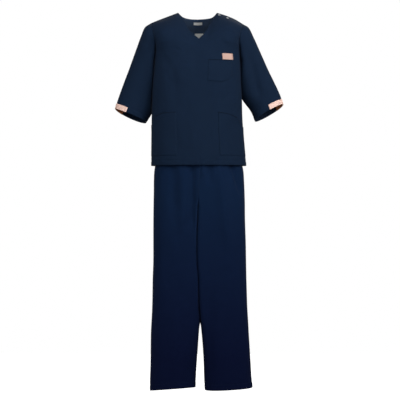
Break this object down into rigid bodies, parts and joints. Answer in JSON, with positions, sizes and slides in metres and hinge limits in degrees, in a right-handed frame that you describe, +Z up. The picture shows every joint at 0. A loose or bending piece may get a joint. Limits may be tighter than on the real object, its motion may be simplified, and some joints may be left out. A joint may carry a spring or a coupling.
{
  "type": "scrub set",
  "caption": "Scrub set: V-neck top with elbow-length sleeves, chest and hip pockets, over straight wide trousers, worn and hollow with no wearer.",
  "frame": {"origin": "between the side neck points of the top, where it hangs from the wearer's shoulders", "axes": "+Z up along the wearer, -Y towards the wearer's front, +X towards the wearer's left"},
  "size_m": [0.6956, 0.2509, 1.5541],
  "materials": {
    "navy_cloth": "matte fine twill",
    "navy_trouser_cloth": "matte fine twill",
    "pink_tape": "matte woven tape",
    "white_label": "matte woven label",
    "grey_snap": "satin"
  },
  "bodies": {
    "root": {"top_front": "navy_cloth", "top_back": "navy_cloth", "sleeve_right": "navy_cloth", "sleeve_left": "navy_cloth", "chest_pocket": "navy_cloth", "hip_pocket_right": "navy_cloth", "hip_pocket_left": "navy_cloth", "chest_label": "pink_tape", "cuff_tape_right": "pink_tape", "cuff_tape_left": "pink_tape", "neck_label": "white_label", "snap_neck_side": "grey_snap", "snap_shoulder_side": "grey_snap", "trouser_right_front": "navy_trouser_cloth", "trouser_right_back": "navy_trouser_cloth", "trouser_left_front": "navy_trouser_cloth", "trouser_left_back": "navy_trouser_cloth", "waistband": "navy_trouser_cloth"}
  },
  "joints": []
}
